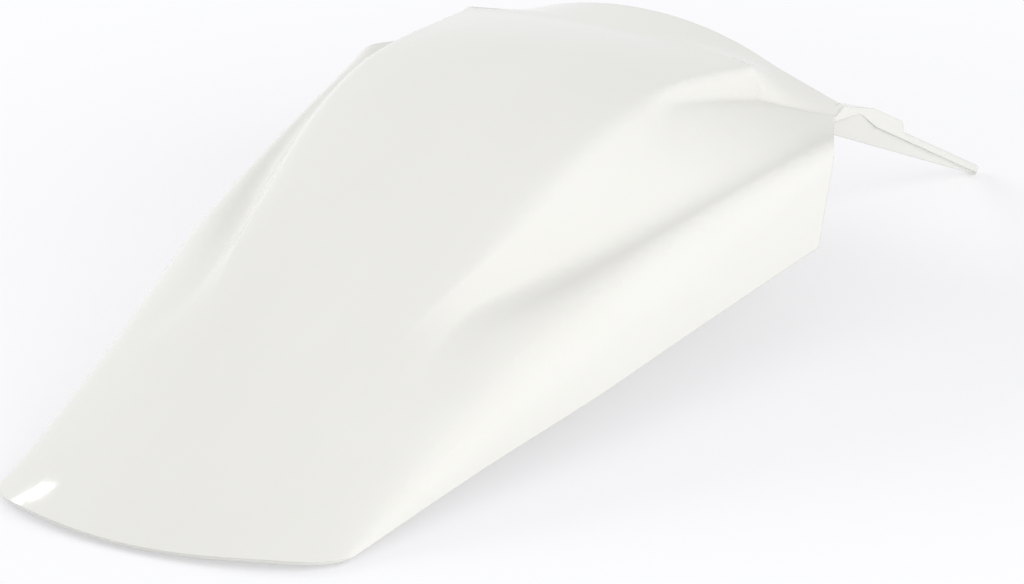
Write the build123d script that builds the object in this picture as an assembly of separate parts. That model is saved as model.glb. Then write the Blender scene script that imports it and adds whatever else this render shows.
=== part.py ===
from build123d import *
import math
import os

# Rear fender of a motorcycle, moulded in one piece.
# X runs forward, Y to the left, Z up, in millimetres. Stations are measured forward of the line through
# the tail's two corners, half widths from the middle plane and heights from the floor the piece rests on.

# Main sizes
WALL = 2.8
SIDE_HALF_WIDTH = 134.5
TAIL_X = -48.0
TAIL_HALF_WIDTH = 92.5
TAIL_END_X = -6.0
TAIL_BOW = 27.0
TAIL_CORNER_R = 36.0
FOLD_X = 413.0
HORN_LENGTH = 34.0
HORN_X = FOLD_X + HORN_LENGTH / 2
FRONT_X = FOLD_X + HORN_LENGTH
# Longer than anything here, for cuts that go right through
BIG = 900.0

# Guide lines of the skin, each a station and the value there. One that breaks at the fold names it twice.
CROWN_Z = [(TAIL_X, -6), (0, 20), (60, 43), (115, 65), (160, 85.5), (205, 105), (255, 123), (300, 131.5),
           (340, 131.5), (380, 125.5), (FOLD_X, 118.5), (FRONT_X, 116)]
RIDGE_W = [(TAIL_X, 33), (60, 36), (115, 46), (160, 57), (205, 64), (255, 70), (300, 72.5), (340, 73),
           (380, 76), (FOLD_X, 81), (FOLD_X, 81), (FRONT_X, 73)]
RIDGE_DROP = [(115, 6), (160, 7.5), (205, 10.5), (255, 10), (300, 9), (340, 8.5), (380, 7.5), (FOLD_X, 5.5),
              (FOLD_X, 5.5), (HORN_X, 12), (FRONT_X, 16)]
CREASE_W = [(300, 74), (340, 74), (380, 77.5), (FOLD_X, 82), (FOLD_X, 82), (HORN_X, 104), (FRONT_X, 122)]
CREASE_Z = [(300, 119), (340, 116), (380, 106), (FOLD_X, 96.5), (FOLD_X, 96.5), (HORN_X, 88), (FRONT_X, 83)]
GROOVE_W = [(TAIL_X, 75), (60, 76), (115, 72), (160, 70), (205, 81), (255, 95), (300, 104.5), (340, 111.5),
            (380, 116.5), (FOLD_X, 119), (HORN_X, 124), (FRONT_X, 136)]
GROOVE_DROP = [(115, 17), (160, 21), (205, 36), (255, 48), (300, 51), (340, 47.5), (380, 39.5),
               (FOLD_X, 33), (HORN_X, 32), (FRONT_X, 34)]
SHOULDER_IN = [(TAIL_X, 44.5), (0, 40.5), (60, 35.5), (115, 30.5), (160, 25), (205, 19.5), (255, 15.5),
               (300, 11.5), (340, 8), (380, 4), (FOLD_X, 0), (HORN_X, -4.5), (FRONT_X, -14.5)]
SHOULDER_Z = [(TAIL_X, -4), (0, 2.6), (60, 20), (115, 39), (160, 55), (205, 67.5), (255, 75), (300, 79),
              (340, 82), (380, 85), (FOLD_X, 87.5), (HORN_X, 85), (FRONT_X, 80)]
RIDGE_ROUND = [(TAIL_X, 30), (115, 20), (205, 9), (300, 7), (340, 5), (FRONT_X, 5)]
CREASE_ROUND = [(TAIL_X, 20), (115, 12), (205, 6), (300, 4), (340, 3), (FRONT_X, 3)]
LIP_ROUND = [(TAIL_X, 20), (115, 12), (205, 6), (300, 5), (340, 5), (FRONT_X, 5)]
LIP_RISE = [(300, 1.6), (380, 1.8), (FOLD_X, 0.6), (HORN_X, 0.4), (FRONT_X, 0.2)]
GROOVE_ROUND = [(TAIL_X, 30), (115, 20), (205, 10), (FOLD_X, 7), (FRONT_X, 6)]
SHOULDER_ROUND = [(TAIL_X, 6), (60, 24), (205, 34), (300, 30), (340, 22), (380, 12), (FOLD_X, 8),
                  (FRONT_X, 8)]
CREASE_SHARE = 0.34
LIP_SHARE = 0.5
POCKET_LIP_SHARE = 0.2
SHARE_GAP = 0.02
HALF_SHARE = 0.5 - SHARE_GAP
SHELF_SHARE = 0.68
EDGE_SHARE = 0.75
EDGE_SLOPE = 0.101
EDGE_FLARE = 1.0
LEAST_BEND = 0.4
STRAIGHT = 1e-4
LEAF_START = 70.0
LEAF_FULL = 146.0
POCKET_START = 304.0
POCKET_FULL = 346.0
SKIN_STEPS = 36

# Front outline of the skin, in plan and from the side
SIDE_SETBACK = 14.0
SIDE_FRONT_X = FOLD_X - SIDE_SETBACK
SIDE_FRONT_TOP_Z = 81.0
SIDE_RAKE = 14.0
SIDE_LOW_X = SIDE_FRONT_X - SIDE_RAKE
SIDE_LOW_Z = 38.5
HORN_HALF_WIDTH = 109.0
HORN_KNEE_BACK = 16.0
HORN_KNEE_X = FRONT_X - HORN_KNEE_BACK
HORN_KNEE_W = 114.0
SIDE_CLEAR = 0.6
RIM_Z = 3.0
RIM_LEAN = 35.0
RIM_DEPTH = 12.0

# Arms in front of the horns
ARM_LAP = 7.0
ARM_REACH = 157.0
ARM_ROOT = (FRONT_X - ARM_LAP, 112.0, 90.6)
ARM_TIP = (FRONT_X + ARM_REACH, 98.0, 1.1)
ARM_ROOT_DEPTH = 17.0
ARM_TIP_DEPTH = 4.0
ARM_ROOT_WIDTH = 27.0
ARM_TIP_WIDTH = 9.0
PAD_LIFT = 5.2
PAD_START = 44.0
PAD_END = 81.0
PAD_RAMP = 4.0
LIP_NARROW = 28.0
LIP_WIDE = 51.0
ARM_BACK = 12.0
ARM_BACK_DROP = 13.5
ARM_ROOT_DROP = 6.0
ARM_LEVEL = 7.0
ARM_TUCK = 28.0
ARM_TIP_ROUND = 3.5

# Seat step between the arms: a bulkhead under the front edge and a sloping deck
SLANT_TOP_Z = 80.0
DECK_LENGTH = 40.0
DECK_LAP = 6.0
GUSSET_HALF_GAPS = (18.0, 62.0)
GUSSET_RISE = 15.0
GUSSET_REACH = 24.0
GUSSET_WALL = 2.2

# Holes for M6 bolts
BOLT_R = 3.3
ARM_BOLT_REACH = 49.0
ARM_BOLT_SPACING = 186.0
DECK_BOLT_REACH = 30.0
DECK_BOLT_SPACING = 80.0


def at(guide, x):
    """Value of a guide line at a station, on a smooth curve through its points."""
    i = 0
    while i < len(guide) - 2 and x > guide[i + 1][0]:
        i += 1

    def slope(k):
        a = guide[max(k - 1, 0)]
        b = guide[min(k + 1, len(guide) - 1)]
        return (b[1] - a[1]) / (b[0] - a[0])

    (x0, y0), (x1, y1) = guide[i], guide[i + 1]
    run = x1 - x0
    t = (x - x0) / run
    rise = y0 * (1 + 2 * t) * (1 - t) ** 2 + y1 * t * t * (3 - 2 * t)
    return rise + run * (slope(i) * t * (1 - t) ** 2 + slope(i + 1) * t * t * (t - 1))


def grown(x, start, full):
    """Share from 0 to 1 by which a feature has grown at a station."""
    t = max(0.0, min(1.0, (x - start) / (full - start)))
    return t * t * (3 - 2 * t)


def between(a, b, share):
    return tuple(p + share * (q - p) for p, q in zip(a, b))


def shoulder_w(x):
    """Half width over the shoulders at a station."""
    return SIDE_HALF_WIDTH - at(SHOULDER_IN, x)


def corners(x):
    """Outer corners of a half section: crown, its bend, ridge, crease, lip, groove, shoulder, edge."""
    crown = at(CROWN_Z, x)
    shoulder = (shoulder_w(x), at(SHOULDER_Z, x))
    fall = (crown - shoulder[1]) / shoulder[0] ** 2
    ridge_w = at(RIDGE_W, x)
    groove_w = at(GROOVE_W, x)
    leaf = grown(x, LEAF_START, LEAF_FULL)
    pocket = grown(x, POCKET_START, POCKET_FULL)
    crease_w = ridge_w + CREASE_SHARE * (groove_w - ridge_w)
    lip_w = crease_w + LIP_SHARE * (groove_w - crease_w)
    plain = [(w, crown - fall * w**2) for w in (ridge_w, crease_w, lip_w, groove_w)]
    ridge = between(plain[0], (ridge_w, crown - at(RIDGE_DROP, x)), leaf)
    groove = between(plain[3], (groove_w, crown - at(GROOVE_DROP, x)), leaf)
    crease = between(plain[1], between(ridge, groove, CREASE_SHARE), leaf)
    crease = between(crease, (at(CREASE_W, x), at(CREASE_Z, x)), pocket)
    lip = between(plain[2], between(crease, groove, LIP_SHARE), leaf)
    lip = between(lip, between(crease, groove, POCKET_LIP_SHARE), pocket)
    lip = (lip[0], lip[1] + pocket * at(LIP_RISE, x))
    edge = (shoulder[0] + EDGE_FLARE, EDGE_SLOPE * x)
    return [(0.0, crown), (ridge_w / 2, crown), ridge, crease, lip, groove, shoulder, edge]


def unit(a, b):
    length = math.hypot(b[0] - a[0], b[1] - a[1])
    return ((b[0] - a[0]) / length, (b[1] - a[1]) / length)


def moved(p, d, s):
    return (p[0] + d[0] * s, p[1] + d[1] * s)


def meet(p, d, q, e):
    """Where the line through p along d meets the line through q along e."""
    k = ((q[0] - p[0]) * e[1] - (q[1] - p[1]) * e[0]) / (d[0] * e[1] - d[1] * e[0])
    return moved(p, d, k)


def half_section(x, depth):
    """Points of one half section at a depth below the outer skin: rounded corners as start, corner, end."""
    pts = corners(x)
    along = [unit(a, b) for a, b in zip(pts, pts[1:])]
    inward = [(d[1], -d[0]) for d in along]
    rounds = [at(g, x) for g in (RIDGE_ROUND, CREASE_ROUND, LIP_ROUND, GROOVE_ROUND, SHOULDER_ROUND)]
    lengths = [math.dist(a, b) for a, b in zip(pts, pts[1:])]
    shares = [(HALF_SHARE, HALF_SHARE)] * 3
    shares += [(HALF_SHARE, 1 - SHARE_GAP - SHELF_SHARE), (SHELF_SHARE, EDGE_SHARE)]
    bends = []
    for k in range(2, 7):
        before, after = along[k - 1], along[k]
        turn = math.acos(max(-1.0, min(1.0, before[0] * after[0] + before[1] * after[1])))
        least = WALL * math.tan(turn / 2) + LEAST_BEND
        back_share, ahead_share = shares[k - 2]
        back = max(least, min(rounds[k - 2], back_share * lengths[k - 1]))
        ahead = max(least, min(rounds[k - 2], ahead_share * lengths[k]))
        start = moved(moved(pts[k], before, -back), inward[k - 1], depth)
        end = moved(moved(pts[k], after, ahead), inward[k], depth)
        if turn < STRAIGHT:
            bend = ((start[0] + end[0]) / 2, (start[1] + end[1]) / 2)
        else:
            bend = meet(start, before, end, after)
        bends.append((start, bend, end))
    top = moved(pts[0], inward[0], depth)
    arch = meet(top, along[0], bends[0][0], along[1])
    low = moved(pts[7], inward[6], depth)
    return top, arch, bends, low


def half_edges(x, depth):
    """Edges of one half section from the middle plane out, its inner corners crisp above the shoulder."""
    top, arch, bends, low = half_section(x, depth)

    def place(p):
        return Vector(x, p[0], p[1])

    reached = bends[0][0]
    made = [Edge.make_bezier(place(top), place(arch), place(reached))]
    for k, (start, bend, end) in enumerate(bends):
        crisp = depth > 0 and k < len(bends) - 1
        if crisp or k > 0:
            made.append(Edge.make_line(place(reached), place(bend if crisp else start)))
        if not crisp:
            made.append(Edge.make_bezier(place(start), place(bend), place(end)))
        reached = bend if crisp else end
    made.append(Edge.make_line(place(reached), place(low)))
    return made, place(top), place(low)


def skin_wire(x):
    """Closed outline of the wall in one half section."""
    outer, outer_top, outer_low = half_edges(x, 0.0)
    inner, inner_top, inner_low = half_edges(x, WALL)
    ends = [Edge.make_line(outer_low, inner_low), Edge.make_line(inner_top, outer_top)]
    return Wire(outer + [ends[0]] + inner[::-1] + [ends[1]])


# Skin, one half of it lofted through its sections
skin_stations = [TAIL_X + (FOLD_X - TAIL_X) * i / SKIN_STEPS for i in range(SKIN_STEPS + 1)]
skin = Solid.make_loft([skin_wire(x) for x in skin_stations])
horn = Solid.make_loft([skin_wire(x) for x in (FOLD_X, HORN_X, FRONT_X)])
half = skin.fuse(horn)

# Outline of the tail: bowed, with round corners and a leaning rim, its sides just clear of the wall
side_tail = (0.0, shoulder_w(0) + EDGE_FLARE + SIDE_CLEAR)
side_front = (SIDE_FRONT_X, shoulder_w(SIDE_FRONT_X) + EDGE_FLARE + SIDE_CLEAR)
tail_r = (TAIL_HALF_WIDTH**2 + TAIL_BOW**2) / (2 * TAIL_BOW)
tail_back = TAIL_END_X - TAIL_BOW
tail_centre = tail_back + tail_r
tail_end_w = side_tail[1] + SIDE_CLEAR
tail_end = (tail_centre - math.sqrt(tail_r**2 - tail_end_w**2), tail_end_w)
side_far = (BIG, side_tail[1] + (side_front[1] - side_tail[1]) * BIG / SIDE_FRONT_X)
rim = make_face(
    [
        Line((tail_back, 0), (BIG, 0)),
        Line((BIG, 0), side_far),
        Line(side_far, tail_end),
        RadiusArc(tail_end, (tail_back, 0), -tail_r),
    ]
)
tail_corner = rim.vertices().sort_by_distance((tail_end[0], tail_end[1], 0))[0]
rim = fillet(tail_corner, TAIL_CORNER_R)
rim = Pos(0, 0, RIM_Z) * (rim + mirror(rim, Plane.XZ))
above = extrude(rim, SIDE_FRONT_X / 2, taper=-RIM_LEAN)
below = extrude(rim, RIM_DEPTH, dir=(0, 0, -1), taper=RIM_LEAN)
half = half & (above + below)

# Outline of the front in plan, stepped in from the side wall to the horn
plan = make_face(
    Polyline(
        (TAIL_X, 0),
        (FRONT_X, 0),
        (FRONT_X, HORN_HALF_WIDTH),
        (HORN_KNEE_X, HORN_KNEE_W),
        (SIDE_FRONT_X, shoulder_w(SIDE_FRONT_X)),
        side_front,
        (TAIL_X, side_front[1]),
        close=True,
    )
)
half = half & extrude(Pos(0, 0, -BIG / 2) * plan, BIG)

# Slanted front edge of the side wall
slant = make_face(
    Polyline(
        (SIDE_FRONT_X, SIDE_FRONT_TOP_Z),
        (SIDE_LOW_X, SIDE_LOW_Z),
        (SIDE_LOW_X - SIDE_RAKE, SIDE_LOW_Z * 2 - SIDE_FRONT_TOP_Z),
        (BIG, SIDE_LOW_Z * 2 - SIDE_FRONT_TOP_Z),
        (BIG, SLANT_TOP_Z),
        (HORN_KNEE_X, SLANT_TOP_Z),
        close=True,
    )
)
half = half - extrude(Plane.XZ * slant, BIG, both=True)

# Arm: a web on the outside with a flange along its top, stepped up into a bolt pad near the root
arm_run = Vector(*ARM_TIP) - Vector(*ARM_ROOT)
arm_length = arm_run.length
outward = Vector(-arm_run.Y, arm_run.X, 0).normalized()
across = arm_run.cross(outward).normalized()
arm_plane = Plane(origin=ARM_ROOT, x_dir=arm_run, z_dir=across)
tuck = math.radians(ARM_TUCK)
web_up = across * math.cos(tuck) + outward * math.sin(tuck)
web_plane = Plane(origin=ARM_ROOT, x_dir=arm_run, z_dir=web_up)
top_line = [
    (-ARM_BACK, -ARM_BACK_DROP),
    (0, -ARM_ROOT_DROP),
    (ARM_LEVEL, 0),
    (PAD_START, PAD_LIFT),
    (PAD_END, PAD_LIFT),
    (PAD_END + PAD_RAMP, 0),
    (arm_length, 0),
]
under_line = [(a, r - WALL) for a, r in top_line]
lip_under = [(arm_length, -WALL), (LIP_WIDE, -WALL), (LIP_NARROW, 0), (0, -WALL - ARM_ROOT_DROP)]
lip_under.append(under_line[0])
lip_face = make_face(Polyline(*top_line, *lip_under, close=True))
flange_face = make_face(Polyline(*top_line, *under_line[::-1], close=True))
web_face = make_face(
    Polyline(
        under_line[0],
        (0, -ARM_ROOT_DROP),
        (ARM_LEVEL, 0),
        (arm_length, 0),
        (arm_length, -ARM_TIP_DEPTH),
        (-ARM_BACK, -ARM_ROOT_DEPTH),
        close=True,
    )
)
arm_plan = make_face(
    Polyline(
        (-ARM_BACK, 0),
        (arm_length, 0),
        (arm_length, -ARM_TIP_WIDTH),
        (-ARM_BACK, -ARM_ROOT_WIDTH),
        close=True,
    )
)
tip_corners = arm_plan.vertices().sort_by(Axis.X)[-2:]
arm_plan = fillet(tip_corners, ARM_TIP_ROUND)
arm_side = arm_plane * Plane.XZ
web = extrude(web_plane * Plane.XZ * web_face, WALL)
flange = extrude(arm_side * lip_face, WALL) + extrude(arm_side * flange_face, ARM_ROOT_WIDTH)
arm = (web + flange) & extrude(arm_plane * Pos(0, 0, -BIG / 2) * arm_plan, BIG)

# Bulkhead closing the front edge down to the deck
lap_w = HORN_HALF_WIDTH - WALL
deck_w = ARM_ROOT[1] - ARM_ROOT_WIDTH + DECK_LAP
deck_slope = arm_run.Z / arm_run.X


def flange_z(x, w, lift=0.0):
    """Height of the arm's flange, or of a face raised above it, at a station and half width."""
    level = across.X * (x - ARM_ROOT[0]) + across.Y * (w - ARM_ROOT[1])
    return ARM_ROOT[2] + (lift - level) / across.Z


def deck_z(x):
    """Height of the deck's upper face at a station, level with the flange it laps."""
    return flange_z(x, deck_w)


deck_drop = WALL * math.hypot(1, deck_slope)
top, arch, bends, low = half_section(FRONT_X, WALL / 2)
ridge_end = bends[0][2]
side_run = unit(ridge_end, bends[1][0])
side_top = moved(ridge_end, side_run, (lap_w - ridge_end[0]) / side_run[0])
sill = deck_z(FRONT_X) - deck_drop
bulkhead_face = make_face(
    [
        Bezier(top, arch, bends[0][0]),
        Bezier(*bends[0]),
        Line(ridge_end, side_top),
        Line(side_top, (lap_w, sill)),
        Line((lap_w, sill), (0, sill)),
        Line((0, sill), top),
    ]
)
bulkhead = extrude(Plane.YZ.offset(FRONT_X) * bulkhead_face, -WALL)

# Deck in front of it, level with the bolt pads, and its gussets
deck_end = FRONT_X + DECK_LENGTH
back_x = FRONT_X - WALL
deck_face = make_face(
    Polyline(
        (back_x, deck_z(back_x)),
        (deck_end, deck_z(deck_end)),
        (deck_end, deck_z(deck_end) - deck_drop),
        (back_x, deck_z(back_x) - deck_drop),
        close=True,
    )
)
deck = extrude(Plane.XZ * deck_face, -deck_w)
gusset_face = make_face(
    Polyline(
        (back_x, deck_z(FRONT_X) + GUSSET_RISE),
        (FRONT_X, deck_z(FRONT_X) + GUSSET_RISE),
        (FRONT_X + GUSSET_REACH, deck_z(FRONT_X + GUSSET_REACH)),
        (FRONT_X + GUSSET_REACH, deck_z(FRONT_X + GUSSET_REACH) - deck_drop / 2),
        (back_x, deck_z(back_x) - deck_drop / 2),
        close=True,
    )
)
half = half + arm + bulkhead + deck
for w in GUSSET_HALF_GAPS:
    half = half + extrude(Plane.XZ.offset(-w) * gusset_face, GUSSET_WALL / 2, both=True)

# Bolt holes, square to the pad and to the deck
drill = Cylinder(BOLT_R, 2 * ARM_ROOT_WIDTH)
arm_w = ARM_BOLT_SPACING / 2
deck_bolt_w = DECK_BOLT_SPACING / 2
arm_bolt_x = FRONT_X + ARM_BOLT_REACH
deck_bolt_x = FRONT_X + DECK_BOLT_REACH
spots = [
    (arm_bolt_x, arm_w, flange_z(arm_bolt_x, arm_w, PAD_LIFT)),
    (deck_bolt_x, deck_bolt_w, deck_z(deck_bolt_x)),
]
for spot in spots:
    half = half - Plane(origin=spot, z_dir=(-deck_slope, 0, 1)) * drill

# Whole fender, brought to rest with the middle of its box over the origin
fender = half + mirror(half, Plane.XZ)
box = fender.bounding_box()
fender = Pos(-box.center().X, 0, -box.min.Z) * fender

os.makedirs("parts", exist_ok=True)
export_step(fender, "parts/rear_fender.step")
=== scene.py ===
import math

import bmesh
import bpy
from mathutils import Matrix, Vector


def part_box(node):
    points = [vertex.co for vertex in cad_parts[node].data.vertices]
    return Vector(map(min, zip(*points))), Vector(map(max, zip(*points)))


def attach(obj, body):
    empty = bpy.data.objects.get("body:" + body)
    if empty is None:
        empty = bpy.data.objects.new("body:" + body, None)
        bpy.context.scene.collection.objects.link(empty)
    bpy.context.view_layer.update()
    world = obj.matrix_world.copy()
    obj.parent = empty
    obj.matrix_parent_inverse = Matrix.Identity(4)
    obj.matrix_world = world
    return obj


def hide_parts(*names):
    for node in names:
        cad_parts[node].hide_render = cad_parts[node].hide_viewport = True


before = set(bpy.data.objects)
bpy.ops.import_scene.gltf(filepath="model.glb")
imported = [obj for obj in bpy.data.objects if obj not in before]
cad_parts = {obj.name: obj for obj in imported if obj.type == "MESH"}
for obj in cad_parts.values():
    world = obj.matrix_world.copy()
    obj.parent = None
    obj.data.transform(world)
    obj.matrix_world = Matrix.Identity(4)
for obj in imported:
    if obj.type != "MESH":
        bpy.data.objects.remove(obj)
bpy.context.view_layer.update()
fender_low, fender_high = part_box("rear_fender")
half_length = fender_high.x
half_width = fender_high.y
middle = (fender_low + fender_high) / 2

# Colours, as they look in even light
PLASTIC_WHITE = (0.822, 0.819, 0.779, 1.0)
PLASTIC_FLOW = (0.79, 0.785, 0.737, 1.0)
FLOOR_WHITE = (0.955, 0.955, 0.97, 1.0)
SKY_WHITE = (0.985, 0.985, 1.0, 1.0)

# Finish of the plastic: roughness and depth of grain, polished outside and satin on the wheel's side
POLISHED, POLISHED_GRAIN = 0.12, 0.02
SATIN, SATIN_GRAIN = 0.42, 0.12
FLOW_STREAKS, FLOW_DETAIL = (5.0, 18.0, 18.0), 3.0
GLOSS_PATCHES, GLOSS_DETAIL = 14.0, 2.0
GLOSS_SPREAD = 0.1
GRAIN_FINENESS, GRAIN_DETAIL = 900.0, 1.0
GRAIN_HEIGHT = 0.0001
PLASTIC_INDEX = 1.49
RIM_ROUND, RIM_SAMPLES = 0.0007, 6
FOLD_ANGLE = math.radians(24)
WELD = 2e-6

# Floor, with the share of its shadow that is lightened beside the fender
FLOOR_SIZE = 60.0
SHADOW_LIFT = 0.56

# Light
SKY_STRENGTH = 0.63
LAMP_REACH = 2.0
GLINT_REACH = 0.12
GLINT_WAY = (0.5, 0.69, 0.53)
GLINT_TURN = -0.5
GLINT_BACK = 0.6
GLINT_HEIGHT = 0.009
RIGHT_WAY = (-0.32, -1.0, 0.5)
LEFT_WAY = (-0.1, 1.0, 0.48)

# Where the photograph was taken from, and the pixel at which it shows the middle between the tail's corners
TURN = math.radians(30.3)
LOOK_DOWN = math.radians(21.1)
FRAME_WIDTH, FRAME_HEIGHT = 1024, 584
PIXELS_PER_METRE = 2097.0
LENS = 950.0
SENSOR = 36.0
CLIP_START, CLIP_END = 0.1, 100.0
TAIL_CORNER_LINE = 0.0327
TAIL_CORNER_HEIGHT = 0.0018
TAIL_PIXEL = (172.5, 524.5)


def plastic_grain():
    """Faint unevenness of a moulded surface: masks for its flow marks and its gloss, and a normal."""
    group = bpy.data.node_groups.new("plastic_grain", "ShaderNodeTree")
    group.interface.new_socket("Depth", in_out="INPUT", socket_type="NodeSocketFloat")
    group.interface.new_socket("Flow mask", in_out="OUTPUT", socket_type="NodeSocketFloat")
    group.interface.new_socket("Gloss mask", in_out="OUTPUT", socket_type="NodeSocketFloat")
    group.interface.new_socket("Normal", in_out="OUTPUT", socket_type="NodeSocketVector")
    nodes, links = group.nodes, group.links
    given = nodes.new("NodeGroupInput")
    out = nodes.new("NodeGroupOutput")
    place = nodes.new("ShaderNodeTexCoord")
    along = nodes.new("ShaderNodeMapping")
    along.inputs["Scale"].default_value = FLOW_STREAKS
    flow = nodes.new("ShaderNodeTexNoise")
    flow.inputs["Scale"].default_value = 1.0
    flow.inputs["Detail"].default_value = FLOW_DETAIL
    patches = nodes.new("ShaderNodeTexNoise")
    patches.inputs["Scale"].default_value = GLOSS_PATCHES
    patches.inputs["Detail"].default_value = GLOSS_DETAIL
    fine = nodes.new("ShaderNodeTexNoise")
    fine.inputs["Scale"].default_value = GRAIN_FINENESS
    fine.inputs["Detail"].default_value = GRAIN_DETAIL
    bump = nodes.new("ShaderNodeBump")
    bump.inputs["Distance"].default_value = GRAIN_HEIGHT
    rim = nodes.new("ShaderNodeBevel")
    rim.samples = RIM_SAMPLES
    rim.inputs["Radius"].default_value = RIM_ROUND
    links.new(place.outputs["Object"], along.inputs["Vector"])
    links.new(along.outputs["Vector"], flow.inputs["Vector"])
    links.new(flow.outputs["Fac"], out.inputs["Flow mask"])
    links.new(place.outputs["Object"], patches.inputs["Vector"])
    links.new(place.outputs["Object"], fine.inputs["Vector"])
    links.new(patches.outputs["Fac"], out.inputs["Gloss mask"])
    links.new(fine.outputs["Fac"], bump.inputs["Height"])
    links.new(given.outputs["Depth"], bump.inputs["Strength"])
    links.new(rim.outputs["Normal"], bump.inputs["Normal"])
    links.new(bump.outputs["Normal"], out.inputs["Normal"])
    return group


def white_plastic(name, roughness, grain, depth):
    """White moulded plastic of a given roughness and depth of grain."""
    material = bpy.data.materials.new(name)
    material.use_nodes = True
    nodes, links = material.node_tree.nodes, material.node_tree.links
    shader = nodes["Principled BSDF"]
    shader.inputs["IOR"].default_value = PLASTIC_INDEX
    surface = nodes.new("ShaderNodeGroup")
    surface.node_tree = grain
    surface.inputs["Depth"].default_value = depth
    tint = nodes.new("ShaderNodeValToRGB")
    tint.color_ramp.elements[0].color = PLASTIC_FLOW
    tint.color_ramp.elements[1].color = PLASTIC_WHITE
    spread = nodes.new("ShaderNodeMapRange")
    spread.inputs["To Min"].default_value = roughness * (1 - GLOSS_SPREAD)
    spread.inputs["To Max"].default_value = roughness * (1 + GLOSS_SPREAD)
    links.new(surface.outputs["Flow mask"], tint.inputs["Fac"])
    links.new(tint.outputs["Color"], shader.inputs["Base Color"])
    links.new(surface.outputs["Gloss mask"], spread.inputs["Value"])
    links.new(spread.outputs["Result"], shader.inputs["Roughness"])
    links.new(surface.outputs["Normal"], shader.inputs["Normal"])
    return material


def moulded_skin(node):
    """The fender with its folds kept crisp and its curves shaded smooth, satin on the wheel's side."""
    mesh = node.data.copy()
    mesh.name = "fender_skin"
    work = bmesh.new()
    work.from_mesh(mesh)
    bmesh.ops.remove_doubles(work, verts=work.verts, dist=WELD)
    wheel_height = -half_width / 2
    for face in work.faces:
        face.smooth = True
        spot = face.calc_center_median()
        outward = Vector((0.0, spot.y, spot.z - wheel_height))
        face.material_index = 0 if face.normal.dot(outward) > 0 else 1
    for edge in work.edges:
        edge.smooth = edge.is_manifold and edge.calc_face_angle() < FOLD_ANGLE
    work.to_mesh(mesh)
    work.free()
    skin = bpy.data.objects.new("fender_skin", mesh)
    bpy.context.scene.collection.objects.link(skin)
    even = skin.modifiers.new("even_shading", "WEIGHTED_NORMAL")
    even.keep_sharp = True
    return skin


def seen_directly(tree):
    """One where a surface is looked at, straight or mirrored in a gloss, and nought where it only lights."""
    path = tree.nodes.new("ShaderNodeLightPath")
    seen = path.outputs["Is Camera Ray"]
    for ray in ("Is Glossy Ray", "Is Transmission Ray"):
        either = tree.nodes.new("ShaderNodeMath")
        either.operation = "MAXIMUM"
        tree.links.new(seen, either.inputs[0])
        tree.links.new(path.outputs[ray], either.inputs[1])
        seen = either.outputs["Value"]
    return seen


def floor_paint():
    """Matt white that keeps a pale shadow beside the fender and turns into the background further off."""
    paint = bpy.data.materials.new("pale_floor")
    paint.use_nodes = True
    nodes, links = paint.node_tree.nodes, paint.node_tree.links
    shader = nodes["Principled BSDF"]
    shader.inputs["Base Color"].default_value = FLOOR_WHITE
    shader.inputs["Roughness"].default_value = 1.0
    shader.inputs["Specular IOR Level"].default_value = 0.0
    glow = nodes.new("ShaderNodeEmission")
    glow.inputs["Color"].default_value = SKY_WHITE
    place = nodes.new("ShaderNodeNewGeometry")
    reach = nodes.new("ShaderNodeVectorMath")
    reach.operation = "LENGTH"
    fade = nodes.new("ShaderNodeMapRange")
    fade.interpolation_type = "SMOOTHSTEP"
    fade.inputs["From Min"].default_value = half_length
    fade.inputs["From Max"].default_value = 2 * half_length
    fade.inputs["To Min"].default_value = SHADOW_LIFT
    fade.inputs["To Max"].default_value = 1.0
    lift = nodes.new("ShaderNodeMath")
    lift.operation = "MULTIPLY"
    mix = nodes.new("ShaderNodeMixShader")
    links.new(place.outputs["Position"], reach.inputs[0])
    links.new(reach.outputs["Value"], fade.inputs["Value"])
    links.new(seen_directly(paint.node_tree), lift.inputs[0])
    links.new(fade.outputs["Result"], lift.inputs[1])
    links.new(lift.outputs["Value"], mix.inputs["Fac"])
    links.new(shader.outputs["BSDF"], mix.inputs[1])
    links.new(glow.outputs["Emission"], mix.inputs[2])
    links.new(mix.outputs["Shader"], nodes["Material Output"].inputs["Surface"])
    return paint


def even_sky():
    """Even light from all round, with a white background where it is looked at."""
    sky = bpy.data.worlds.new("sky")
    sky.use_nodes = True
    nodes, links = sky.node_tree.nodes, sky.node_tree.links
    light = nodes["Background"]
    light.inputs["Color"].default_value = SKY_WHITE
    light.inputs["Strength"].default_value = SKY_STRENGTH
    white = nodes.new("ShaderNodeBackground")
    white.inputs["Color"].default_value = SKY_WHITE
    mix = nodes.new("ShaderNodeMixShader")
    links.new(seen_directly(sky.node_tree), mix.inputs["Fac"])
    links.new(light.outputs["Background"], mix.inputs[1])
    links.new(white.outputs["Background"], mix.inputs[2])
    links.new(mix.outputs["Shader"], nodes["World Output"].inputs["Surface"])
    return sky


def softbox(name, spot, toward, reach, width, height, power):
    """A soft lamp in a direction from a spot, turned to face it."""
    lamp = bpy.data.lights.new(name, "AREA")
    lamp.shape = "RECTANGLE"
    lamp.size = width
    lamp.size_y = height
    lamp.energy = power
    holder = bpy.data.objects.new(name, lamp)
    bpy.context.scene.collection.objects.link(holder)
    way = Vector(toward).normalized()
    holder.location = spot + way * reach
    holder.visible_camera = False
    holder.rotation_euler = (-way).to_track_quat("-Z", "Y").to_euler()
    return holder


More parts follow.
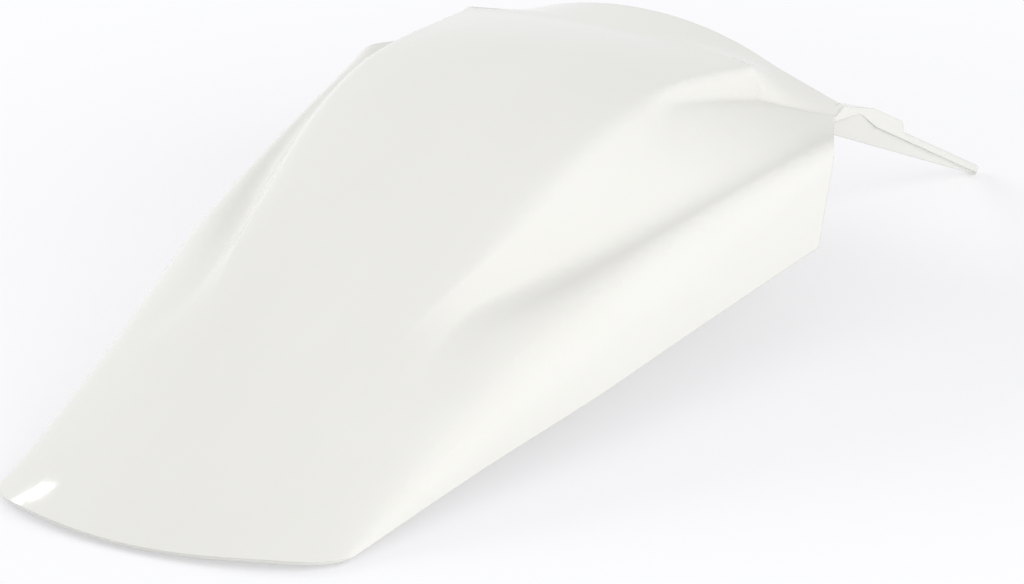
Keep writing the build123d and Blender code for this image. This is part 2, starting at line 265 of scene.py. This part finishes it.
def photo_camera():
    """A camera behind and to the right of the tail, looking down along the fender."""
    across = Vector((math.sin(TURN), -math.cos(TURN), 0.0))
    ahead = Vector((math.cos(TURN), math.sin(TURN), -math.tan(LOOK_DOWN))).normalized()
    upward = across.cross(ahead)
    tail = Vector((fender_low.x + TAIL_CORNER_LINE, 0.0, TAIL_CORNER_HEIGHT))
    right_shift = (FRAME_WIDTH / 2 - TAIL_PIXEL[0]) / PIXELS_PER_METRE
    up_shift = (TAIL_PIXEL[1] - FRAME_HEIGHT / 2) / PIXELS_PER_METRE
    aim = tail + across * right_shift + upward * up_shift
    aim += ahead * (middle - aim).dot(ahead)
    distance = LENS / SENSOR * FRAME_WIDTH / PIXELS_PER_METRE
    lens = bpy.data.cameras.new("camera")
    lens.lens = LENS
    lens.sensor_width = SENSOR
    lens.clip_start = CLIP_START
    lens.clip_end = CLIP_END
    camera = bpy.data.objects.new("camera", lens)
    bpy.context.scene.collection.objects.link(camera)
    facing = Matrix((across, upward, -ahead)).transposed().to_4x4()
    camera.matrix_world = Matrix.Translation(aim - ahead * distance) @ facing
    return camera


# Fender
grain = plastic_grain()
skin = moulded_skin(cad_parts["rear_fender"])
skin.data.materials.clear()
skin.data.materials.append(white_plastic("glossy_white_plastic", POLISHED, grain, POLISHED_GRAIN))
skin.data.materials.append(white_plastic("satin_white_plastic", SATIN, grain, SATIN_GRAIN))
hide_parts("rear_fender")
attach(skin, "root")

# Floor
bpy.ops.mesh.primitive_plane_add(size=FLOOR_SIZE)
floor = bpy.context.object
floor.name = "floor"
floor.data.materials.append(floor_paint())

# Two broad lamps, kept out of the gloss: one low on the right, and one low on the left for the shadow
right_light = softbox(
    "right_light", middle, toward=RIGHT_WAY, reach=LAMP_REACH, width=2.4, height=1.2, power=22.0
)
left_light = softbox(
    "left_light", middle, toward=LEFT_WAY, reach=LAMP_REACH, width=1.4, height=0.8, power=17.5
)
for light in (right_light, left_light):
    light.visible_glossy = False

# A little lamp close to the tail's far corner, which shows only as a glint in the gloss
tail_corner = Vector((fender_low.x + GLINT_BACK * TAIL_CORNER_LINE, half_width / 2, GLINT_HEIGHT))
tail_glint = softbox(
    "tail_glint", tail_corner, toward=GLINT_WAY, reach=GLINT_REACH, width=0.01, height=0.042, power=0.009
)
tail_glint.rotation_euler = (0.0, 0.0, GLINT_TURN)
tail_glint.visible_diffuse = False

bpy.context.scene.world = even_sky()
bpy.context.scene.camera = photo_camera()
bpy.context.scene.view_settings.view_transform = "Standard"
